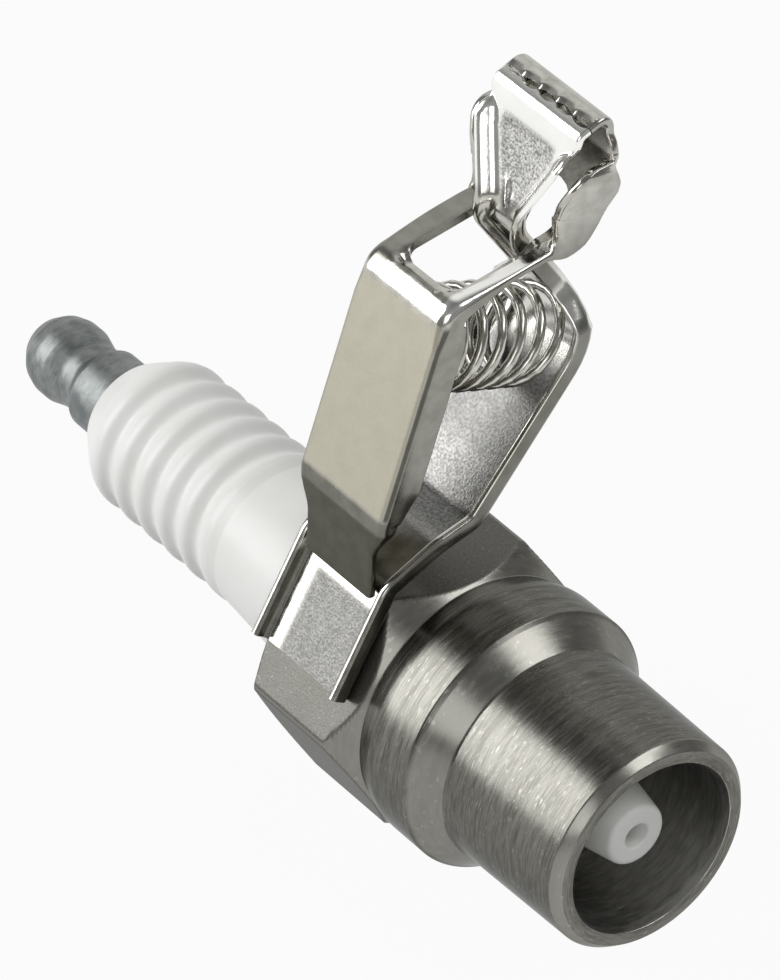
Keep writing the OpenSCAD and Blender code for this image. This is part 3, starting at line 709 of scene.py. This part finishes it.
# %% Sweep
def sweep(name, bend, half, up, down, fold, flare, press, reach_at, knot=8, knot_at=None, window=None):
    """Sweep the section along a bend line. half, up, down, fold and flare hold a value for each row.
    press(row, s, u) moves the web, reach_at(u) moves its last edge, and window is the first and last
    row of a hole in it, knot columns from each side."""
    points, faces = [], []
    size = 0
    for row, s in enumerate(bend.length):
        window_knot = knot_at(row) if knot_at else 0.6 * half[row]
        parts = section(half[row], up[row], down[row], fold[row], flare[row], knot, window_knot)
        size = sum(len(part) for part in parts)
        for part, is_web in zip(parts, (True, False, True, False)):
            for u, k in part:
                y, z = bend.at(row, k + (press(row, s, u) if is_web else 0), reach_at(u))
                points.append((CLIP_X + u, EDGE_Y + y, EDGE_Z + z))
    lower_start = size // 2

    def upper_at(row, j):
        return row * size + j

    def lower_at(row, j):
        return row * size + lower_start + WEB - j

    last = len(bend.rows) - 1
    first_hole, last_hole = window or (0, 0)
    for row in range(last):
        hole = first_hole <= row < last_hole
        for j in range(size):
            across = j if j < WEB else WEB - 1 - (j - lower_start)
            is_web = j < WEB or lower_start <= j < lower_start + WEB
            if hole and is_web and knot <= across < WEB - knot:
                continue
            nxt = (j + 1) % size
            faces.append((row * size + j, row * size + nxt, (row + 1) * size + nxt, (row + 1) * size + j))
        if hole:
            for j in (knot, WEB - knot):
                faces.append((upper_at(row, j), upper_at(row + 1, j), lower_at(row + 1, j), lower_at(row, j)))
    ends = [(row, range(WEB)) for row in (0, last)]
    if window:
        ends += [(row, range(knot, WEB - knot)) for row in window]
    for row, columns in ends:
        faces += [(upper_at(row, j), upper_at(row, j + 1), lower_at(row, j + 1), lower_at(row, j))
                  for j in columns]
    for row in (0, last):
        faces.append([row * size + j for j in range(WEB, lower_start + 1)])
        faces.append([row * size + j % size for j in range(lower_start + WEB, size + 1)])
    return mesh_piece(name, points, faces, sharp=50)


def soften(piece, width_mm=0.08, limit=55):
    """Round the cut edges a little."""
    modifier = piece.modifiers.new("cut_edges", "BEVEL")
    modifier.width = width_mm * MM
    modifier.segments = 2
    modifier.limit_method = "ANGLE"
    modifier.angle_limit = math.radians(limit)


def blur(values, lengths, reach):
    """Running mean of values along a line, over a length of reach to each side."""
    return np.array([values[np.abs(lengths - s) <= reach].mean() for s in lengths])


print("web columns:", WEB)

# %% Welded arm
FOOT_UP = np.array([0.5, math.sqrt(3) / 2])
FOOT_OUT = np.array([-math.sqrt(3) / 2, 0.5])
FOOT_LIFT = 0.45 * FOOT_OUT  # half the sheet and the weld under it
FOOT_LENGTH, FOOT_RISE = 7.9, 0.9
STEP, RAMP, BOW, KNEE, JAW = (4.2, 2.85), (7.45, 3.65), (18.5, 16.8), (12.9, 25.2), (15.6, 33.9)
BASE_TURNS = [0, 0.9, 3, 2, 5.9, 1.4, 0.55, 0]
BASE_WIDTHS = [17.0, 19.8, 26.2, 31.2], [4.9, 2.5, 2.5, 4.85]  # heights, and the half width at each
BASE_WALL = 1.35
BASE_LIP, LEVER_LIP = 1.5, 1.3
MEETING = 0.7  # the lips meet this far short of BASE_LIP
TOOTH_GAP = 0.12
PANEL_DEPTH = 0.15
RIB_HEIGHT, RIB_HALF = 0.22, 0.24

base_corners = [FOOT_LIFT - FOOT_LENGTH * FOOT_UP, FOOT_LIFT + FOOT_RISE * FOOT_UP, STEP, RAMP, BOW, KNEE, JAW,
                np.array(JAW) + (BASE_LIP - MEETING - TOOTH_GAP / 2) * LIP_DIR]
base_bend = Bend(base_corners, BASE_TURNS, pitch=0.25)
base_half = blur(np.interp(base_bend.line[:, 1], *BASE_WIDTHS), base_bend.length, 0.7)
jaw_foot, jaw_top = base_bend.along(5), base_bend.along(6)
base_up = np.interp(base_bend.length, [jaw_top - 2.7, jaw_top - 0.75], [BASE_WALL, SHEET / 2])
base_down = np.full(len(base_half), SHEET / 2)
base_fold = np.interp(base_bend.length, [jaw_foot - 2, jaw_foot + 3], [0.75, 0.9])
base_flare = np.interp(base_bend.length, [jaw_foot - 0.5, jaw_foot + 1.5], [0, 0.8])


def rib_line(a):
    """Where the rib lies across the jaw, a above the jaw's foot."""
    return -0.035 - 0.4 * (a - 1.22)


def rib_share(a, u):
    """How much of the rib stands at a spot on the front jaw."""
    return ease((a - 0.9) / 0.5) * ease((3.2 - a) / 0.5) * np.exp(-(((u - rib_line(a)) / RIB_HALF) ** 2))


def base_press(row, s, u):
    """The front jaw has a sunk panel, and a short rib stands at the point of its V."""
    panel = ease((s - jaw_foot - 1.2) / 1.2) * ease((jaw_top - 1.3 - s) / 0.8)
    panel *= ease((base_half[row] - 1.9 - abs(u)) / 1.2)
    return -PANEL_DEPTH * panel + RIB_HEIGHT * rib_share(s - jaw_foot, u)


base_arm = sweep("welded_arm", base_bend, base_half, base_up, base_down, base_fold, base_flare, base_press,
                 reach_at=tooth)
soften(base_arm)
print("welded arm faces:", len(base_arm.data.polygons))

# %% Squeeze lever
HEEL, CROWN, REAR = (-1.05, 7.4), (4.45, 23.65), (15.7, 25.2)
LEVER_TURNS = [0, 1.5, 1.9, 3, 2, 0.75, 0]
LEVER_WIDTHS = [4.8, 6.2, 26.8, 30.0, 31.5, 33.1], [3.75, 4.85, 4.85, 6.1, 6.1, 4.85]
TAB_GAP = 0.25  # between the lever's tab and the welded arm's foot

lever_top = np.array(JAW) + (BASE_LIP + LEVER_LIP) * LIP_DIR
rear_upper = lever_top + (-0.25, -2.9)
lever_corners = [FOOT_LIFT + (SHEET + TAB_GAP) * FOOT_OUT, HEEL, CROWN, REAR, rear_upper, lever_top,
                 lever_top - (LEVER_LIP + MEETING - TOOTH_GAP / 2) * LIP_DIR]
lever_bend = Bend(lever_corners, LEVER_TURNS, pitch=0.2)
lever_s = lever_bend.length
lever_half = blur(np.interp(lever_bend.line[:, 1], *LEVER_WIDTHS), lever_s, 1.0)
heel_s, crown_s, rear_s = (lever_bend.along(i) for i in (1, 2, 3))
down_at = [heel_s - 2.6, heel_s + 2.6, crown_s - 2.4, crown_s + 2, crown_s + 6,
           rear_s - 3, rear_s, rear_s + 4, rear_s + 7]
lever_down = np.interp(lever_s, down_at, [0.35, 2.35, 2.35, 1.0, 0.5, 0.5, 1.4, 1.3, 0.35])
fold_at = [crown_s - 3, crown_s - 1, crown_s + 0.5, crown_s + 6, rear_s - 3, rear_s]
lever_fold = np.interp(lever_s, fold_at, [0.6, 0.95, 0.95, 0.45, 0.45, 0.7])
print("lever rows:", len(lever_s))

# %% [markdown]
# The lever's ears are walls on the other side of the sheet: they reach forward past the front jaw.
# Their edge is drawn from the side, and each row of the sweep finds its own wall height by looking
# along its normal until it meets that drawn edge.


# %% Ears
def height_to(bend, row, edge):
    """How far to the left of a row the drawn edge lies."""
    start = bend.at(row, 0)
    normal = bend.at(row, 1) - start
    heights = [SHEET / 2]
    for p, q in zip(edge[:-1], edge[1:]):
        across = np.stack([normal, p - q], 1)
        if abs(np.linalg.det(across)) > 1e-9:
            k, share = np.linalg.solve(across, p - start)
            if 0 <= share <= 1:
                heights.append(k)
    return max(heights)


EAR_REACH = 3.0
EAR_START = 3.6  # how far before the rear bend the ear begins
ear_shares = [(-0.8, 0.62), (-0.3, 0.6), (0.48, 0.66), (1.5, 0.82), (3.0, 0.98), (4.8, 0.96),
              (5.8, 0.78), (6.4, 0.4), (6.75, 0.0)]
jaw_up = unit(rear_upper - np.array(REAR))
rail_dir = unit(np.subtract(REAR, CROWN))
ear_edge = [np.array(REAR) - EAR_START * rail_dir + SHEET / 2 * left(rail_dir)]
ear_edge += [np.array(REAR) + a * jaw_up + (SHEET / 2 + b * EAR_REACH) * left(jaw_up) for a, b in ear_shares]
near_ear = (lever_s > rear_s - 5) & (lever_s < rear_s + 8)
lever_up = np.array([height_to(lever_bend, row, ear_edge) if near_ear[row] else SHEET / 2
                     for row in range(len(lever_s))])
lever_up = blur(lever_up, lever_s, 0.55)
print("ear stands out", round(float(lever_up.max()), 2), "mm")

# %% Window and lever
WINDOW_HALF, WINDOW_TURN = 2.8, 1.2
WINDOW_START_Y, WINDOW_STOP_Z = 5.85, 28.3
SHELF_WIDTH, SHELF_DEPTH = 0.6, 0.65
DOT_R, DOT_HEIGHT = 0.28, 0.2
rows = np.arange(len(lever_s))
behind_start = rows[(lever_s > crown_s) & (lever_bend.line[:, 0] >= WINDOW_START_Y)]
below_stop = rows[(lever_s > crown_s) & (lever_bend.line[:, 1] <= WINDOW_STOP_Z)]
window = (int(behind_start[0]), int(below_stop[-1]))
window_s = [lever_s[row] for row in window]


def lever_knot(row):
    """Where the window's side lies in this row: round corners at its two ends."""
    from_end = min(lever_s[row] - window_s[0], window_s[1] - lever_s[row])
    narrow = WINDOW_HALF - WINDOW_TURN
    if from_end < 0:
        return narrow + WINDOW_TURN * ease(-from_end / 2)
    back_in = max(0, WINDOW_TURN - from_end)
    return narrow + math.sqrt(WINDOW_TURN ** 2 - back_in ** 2)


def lever_press(row, s, u):
    """The sheet is drawn down in a shelf along two sides of the window, and each tooth of the lip
    carries a dot. The sheet is turned over there, so a press below zero makes the dots stand up."""
    middle, reach = (window_s[0] + window_s[1]) / 2, (window_s[1] - window_s[0]) / 2
    ahead = max(abs(s - middle) - reach + WINDOW_TURN, 0)
    beside = max(abs(u) - WINDOW_HALF + WINDOW_TURN, 0)
    from_edge = math.hypot(ahead, beside) - WINDOW_TURN
    shelf = (1 - ease((from_edge - SHELF_WIDTH) / 0.25)) * ease((u + 3) / 1.2)
    shelf *= ease((rear_s - 2.2 - s) / 1.5)
    tip = abs(((u / JAW_W + 0.5) * TEETH + 0.5) % 1 - 0.5) * JAW_W / TEETH
    dot = ease(s - rear_s - 6) * math.exp(-((tip / DOT_R) ** 2) - ((lever_s[-1] - 0.5 - s) / 0.3) ** 2)
    return -SHELF_DEPTH * shelf - DOT_HEIGHT * dot


lever = sweep("squeeze_lever", lever_bend, lever_half, lever_up, lever_down, lever_fold, lever_s * 0, lever_press,
              knot_at=lever_knot, reach_at=tooth, window=window)
soften(lever)
print("lever faces:", len(lever.data.polygons), "window rows:", window)

# %% [markdown]
# The clip is bright nickel over pressed steel. Its surface is smooth but never flat: a slow ripple
# bends the reflections, and small pits and scuffs dull them in places. The broad face of the lever
# is a satin, as it comes from the press. Values on the vertices say where a surface is satin or
# scuffed, and where shade and highlights are painted.

# %% Clip finish
plate = Finish("clip_plate")
satin = plate.attribute("satin")
scuff = plate.attribute("scuff")
shade = plate.attribute("shade")
bright = plate.attribute("bright")
ripple = plate.noise(plate.place, 420.0, 2.0)
pits = plate.noise(plate.place, 5200.0, 3.0)
clouds = plate.noise(plate.place, 900.0, 4.0)
speckle = plate.band(plate.noise(plate.place, 5200.0, 4.0), 0.3, 0.7)
tone = plate.band(clouds, 0.3, 0.7)
nickel = plate.mix(tone, rgb(0.46, 0.45, 0.41), rgb(0.58, 0.57, 0.525))
# Painted highlights: the plate is lifted to near white where the attribute says.
nickel = plate.mix(bright, nickel, rgb(0.93, 0.925, 0.9))
nickel = plate.mix(satin, nickel, plate.mix(pits, rgb(0.39, 0.37, 0.297), rgb(0.44, 0.419, 0.347)))
# Scuffed plate is lighter under the painted highlights too.
worn = plate.mix(speckle, plate.mix(bright, rgb(0.12, 0.119, 0.114), rgb(0.2, 0.198, 0.188)),
                 plate.mix(bright, rgb(0.2, 0.198, 0.191), rgb(0.62, 0.615, 0.595)))
nickel = plate.mix(scuff, nickel, worn)
# Painted shade: the plate is darkened where the attribute says.
nickel = plate.mix(shade, nickel, plate.mix(tone, rgb(0.08, 0.078, 0.062), rgb(0.1, 0.097, 0.078)))
sheen = 0.12 + 0.06 * tone + 0.2 * satin + 0.2 * scuff + 0.14 * shade
relief = ripple * 0.4 + pits * 0.2 + speckle * scuff * 0.3
plate.close({"Base Color": nickel, "Metallic": 1.0, "Roughness": sheen, "Specular Tint": rgb(0.8, 0.8, 0.8),
             "Normal": plate.bump(relief, 0.25, 0.08)})


def arm_places(arm):
    """Place across the arm and height over the hexagon's edge, at each vertex."""
    spots = points_of(arm)
    return spots[:, 0] - CLIP_X, spots[:, 2] - EDGE_Z


print("clip finish:", plate.material.name)

# %% Satin, painted shade and painted highlights on the lever
across, high = arm_places(lever)
from_side = np.interp(high, *LEVER_WIDTHS) - np.abs(across)
above_heel = high - HEEL[1]
handle = ease((above_heel - 0.3) / 0.4) * ease((CROWN[1] - 0.9 - high) / 0.5)
# Painted shade on the walls, along the handle's fold, at the heel, on the tab and on the far rail.
walls = (0.56 - 0.26 * ease((high - 25) / 1.5)) * (1 - ease((from_side - 0.02) / 0.1))
fold_line = 0.95 * handle * (1 - ease((from_side - 0.2) / 0.12)) * ease(from_side / 0.06)
heel_band = 0.78 * (1 - ease((above_heel - 0.3) / 0.4))
tab = 1 - ease((above_heel + 0.9) / 0.6)
on_rails = ease((high - CROWN[1] + 0.6) / 0.3) * ease((26 - high) / 0.5)
far_rail = 0.58 * on_rails * ease((-2.5 - across) / 0.2)
# A painted highlight along the near rail.
near_rail = on_rails * ease((across - 3.5) / 0.15) * ease((from_side - 0.05) / 0.1)
set_attribute(lever, "satin", handle * ease((from_side - 0.25) / 0.12))
set_attribute(lever, "scuff", np.zeros(len(high)))
set_attribute(lever, "shade", np.max([walls, fold_line, heel_band, tab, far_rail], axis=0))
set_attribute(lever, "bright", 0.85 * near_rail)
print("lever vertices:", len(high))

# %% Wear, painted shade and painted highlights on the welded arm
across, high = arm_places(base_arm)
half_here = np.interp(high, *BASE_WIDTHS)
on_foot = ease((0.5 - high) / 0.5)
on_jaw = ease((high - 25.4) / 0.8)
right_margin = half_here - across - 1.0 - 0.7 * on_jaw
left_margin = half_here + across - 1.2 - 0.5 * on_foot - 0.6 * on_jaw
in_border = ease(left_margin / (0.4 + 0.6 * on_foot)) * ease(right_margin / 0.4)
foot = ease((-0.2 - high) / 0.5)
# A painted shadow along the foot's bottom edge.
foot_end = 1 - ease((high - high.min() - 0.15) / 0.2)
# Painted shade on the inner face of the foot's left wall.
left_wall = on_foot * ease((-3.9 - across) / 0.1) * ease((across + 4.4) / 0.1)
rise = ease((high - 2.6) / 1.0) * ease((14.5 - high) / 2.0)
panel = on_jaw * ease((32.6 - high) / 0.6)
rib = rib_share((high - KNEE[1]) / 0.955, across) * (high > KNEE[1])
# Painted shade on the arm's right outer wall, below the jaw.
right_wall = 0.78 * ease((across - half_here + 0.1) / 0.08) * (1 - on_jaw)
set_attribute(base_arm, "satin", np.zeros(len(high)))
# Painted highlights on the jaw, on the rib, low on the rise and near the bow.
jaw_shine = ease((high - 26.8) / 0.8)
low_shine = 0.2 * ease((high - 1) / 0.5) * ease((8 - high) / 2)
bow_shine = 0.6 * ease((high - 13) / 2) * ease((22 - high) / 2)
set_attribute(base_arm, "scuff", in_border * (foot + rise + panel) * (1 - rib))
set_attribute(base_arm, "shade", np.max([foot_end, 0.8 * left_wall, right_wall], axis=0))
set_attribute(base_arm, "bright", np.max([jaw_shine, rib, low_shine, bow_shine], axis=0))
for arm, body, node in ((base_arm, "plug", "clip_base"), (lever, "lever", "clip_lever")):
    arm.data.materials.append(plate.material)
    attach(arm, body)
    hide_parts(node)
print("clip finish on", base_arm.name, "and", lever.name)

# %% [markdown]
# The spring pushes the handle away from the welded arm and so keeps the jaws shut. Its wire follows
# a rule, a circle that moves along a line while it leans over, so Geometry Nodes place the points of
# the wire and sweep a round section along them. When the lever is squeezed, the spring shortens along
# its axis; here only the share of its length that it keeps is worked out.

# %% Spring
TURNS = 7
RINGS = 24  # steps in each turn
WIRE_SIDES = 12
WIRE_D = 0.76
SPRING_OD = 8.0
SPRING_GAP = 0.08  # between the wire's ends and the arms
SPRING_TILT = math.radians(-3.5)
LEVER_SEAT_Z, RISE_SEAT_Z = 19.2, 13.8  # heights of its ends in the side drawing
coil_r = (SPRING_OD - WIRE_D) / 2
stub = WIRE_D + SPRING_GAP
lever_dir = unit(np.subtract(CROWN, HEEL))
lever_in = -left(lever_dir)
rise_dir = unit(np.subtract(BOW, RAMP))
rise_in = left(rise_dir)
end_up = math.cos(SPRING_TILT) * rise_dir + math.sin(SPRING_TILT) * left(rise_dir)
lever_spot = np.array(HEEL) + lever_dir * (LEVER_SEAT_Z - HEEL[1]) / lever_dir[1]
rise_spot = np.array(RAMP) + rise_dir * (RISE_SEAT_Z - RAMP[1]) / rise_dir[1]
coil_start = lever_spot + (SHEET / 2 + stub) * lever_in
coil_stop = rise_spot + (SHEET / 2 + stub + coil_r * (end_up @ rise_in)) * rise_in


def placed(yz):
    return (CLIP_X * MM, (EDGE_Y + yz[0]) * MM, (EDGE_Z + yz[1]) * MM)


def pointing(yz, size=1.0):
    return (0.0, float(yz[0]) * size, float(yz[1]) * size)


spring_sizes = {"Turns": float(TURNS), "Rings": float(RINGS),
                "Coil Radius": coil_r * MM, "Wire Radius": WIRE_D / 2 * MM,
                "Start": placed(coil_start), "Stop": placed(coil_stop), "Start Up": pointing(lever_dir),
                "Stop Up": pointing(end_up), "Start Stub": pointing(lever_in, -stub * MM),
                "Stop Stub": pointing(rise_in, -stub * MM)}
bench, sizes, keys = tree_with("coiled_wire", spring_sizes)
steps = sizes["Turns"] * sizes["Rings"]
line = bench.node("GeometryNodeMeshLine", inputs={"Count": steps + 3})
index = bench.node("GeometryNodeInputIndex")
step = (index - 1).math("MAXIMUM", 0.0).math("MINIMUM", steps)
share = step / steps
turn = step / sizes["Rings"] * math.tau - math.pi / 2


def between(a, b):
    return bench.node("ShaderNodeMix", {"data_type": "VECTOR"}, {0: share, 4: a, 5: b}, out=1)


def scaled(vector, amount):
    return bench.node("ShaderNodeVectorMath", {"operation": "SCALE"}, {0: vector, "Scale": amount})


lean = bench.node("ShaderNodeVectorMath", {"operation": "NORMALIZE"},
                  {0: between(sizes["Start Up"], sizes["Stop Up"])})
sideways = bench.vector(turn.math("COSINE") * sizes["Coil Radius"], 0.0, 0.0)
spot = bench.vector_math("ADD", between(sizes["Start"], sizes["Stop"]), sideways)
spot = bench.vector_math("ADD", spot, scaled(lean, turn.math("SINE") * sizes["Coil Radius"]))
spot = bench.vector_math("ADD", spot, scaled(sizes["Start Stub"], index.math("LESS_THAN", 0.5)))
spot = bench.vector_math("ADD", spot, scaled(sizes["Stop Stub"], index.math("GREATER_THAN", steps + 1.5)))
wire = bench.node("GeometryNodeSetPosition", inputs={"Geometry": line, "Position": spot})
wire = bench.node("GeometryNodeMeshToCurve", inputs={0: wire})
round_wire = bench.node("GeometryNodeCurvePrimitiveCircle",
                        inputs={"Resolution": WIRE_SIDES, "Radius": sizes["Wire Radius"]})
tube = bench.node("GeometryNodeCurveToMesh",
                  inputs={"Curve": wire, "Profile Curve": round_wire, "Fill Caps": True})
tube = bench.node("GeometryNodeSetShadeSmooth", inputs={"Geometry": tube})
print("spring tree nodes:", len(bench.tree.nodes))

# %% Spring finish and squeeze
wire_finish = Finish("spring_wire")
drawn = wire_finish.noise(wire_finish.place, 1400.0, 3.0)
shine = wire_finish.mix(wire_finish.band(drawn, 0.35, 0.65), rgb(0.42, 0.41, 0.37), rgb(0.6, 0.59, 0.55))
wire_finish.close({"Base Color": shine, "Metallic": 1.0, "Roughness": 0.14 + 0.12 * drawn,
                   "Normal": wire_finish.bump(drawn, 0.2, 0.03)})
end_tree(bench, tube, wire_finish.material)
spring = bpy.data.objects.new("return_spring", bpy.data.meshes.new("return_spring"))
scene.collection.objects.link(spring)
run_tree(spring, bench, keys, spring_sizes)

OPEN_ANGLE = math.radians(frame["joints"][0]["range_deg"][1])
pivot = lever_corners[0]
ahead, above = lever_spot - pivot
swung = pivot + np.array([ahead * math.cos(OPEN_ANGLE) + above * math.sin(OPEN_ANGLE),
                          above * math.cos(OPEN_ANGLE) - ahead * math.sin(OPEN_ANGLE)])
spring_axis = unit(lever_spot - rise_spot)
keep = float((swung - rise_spot) @ spring_axis / np.linalg.norm(lever_spot - rise_spot))
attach(spring, "plug")
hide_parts("clip_spring")
placed(rise_spot)
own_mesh(spring)
print("spring faces:", len(spring.data.polygons), "keeps", round(keep, 2), "of its length when squeezed")

# %% [markdown]
# The pieces inside the plug, and the welds under the clip's foot, are hidden in use. Their CAD
# shapes are already right, so they only get a finish of their own, each with a little variation.


# %% Hidden pieces
def plain_finish(name, dark, light, metallic, rough, scale):
    finish = Finish(name)
    grain = finish.noise(finish.place, scale, 3.0)
    finish.close({"Base Color": finish.mix(grain, dark, light), "Metallic": metallic,
                  "Roughness": rough + 0.15 * grain, "Normal": finish.bump(grain, 0.2, 0.02)})
    return finish.material


core = plain_finish("core_metal", rgb(0.42, 0.42, 0.40), rgb(0.58, 0.58, 0.56), 1.0, 0.28, 2400.0)
hidden = {
    "centre_electrode": core,
    "terminal_stud": core,
    "lower_packing_ring": core,
    "upper_packing_ring": core,
    "glass_seal": plain_finish("seal_glass", rgb(0.16, 0.12, 0.10), rgb(0.33, 0.27, 0.23), 0.0, 0.2, 1500.0),
    "seat_gasket": plain_finish("gasket_brass", rgb(0.50, 0.37, 0.19), rgb(0.68, 0.53, 0.30), 1.0, 0.3, 1800.0),
    "talc_packing": plain_finish("packing_talc", rgb(0.76, 0.74, 0.68), rgb(0.86, 0.84, 0.79), 0.0, 0.75, 3000.0),
    "weld_spots": plain_finish("weld_steel", rgb(0.30, 0.29, 0.27), rgb(0.50, 0.49, 0.46), 1.0, 0.4, 2200.0),
}
for node, material in hidden.items():
    slots = frame["nodes"][node].data.materials
    slots.clear()
    slots.append(material)
print("hidden pieces:", len(hidden))

# %% [markdown]
# Last come the sizes: the box of the CAD model is printed.

# %% Sizes and finish
print("CAD box", [[round(v / MM, 2) for v in c] for c in cad_box])
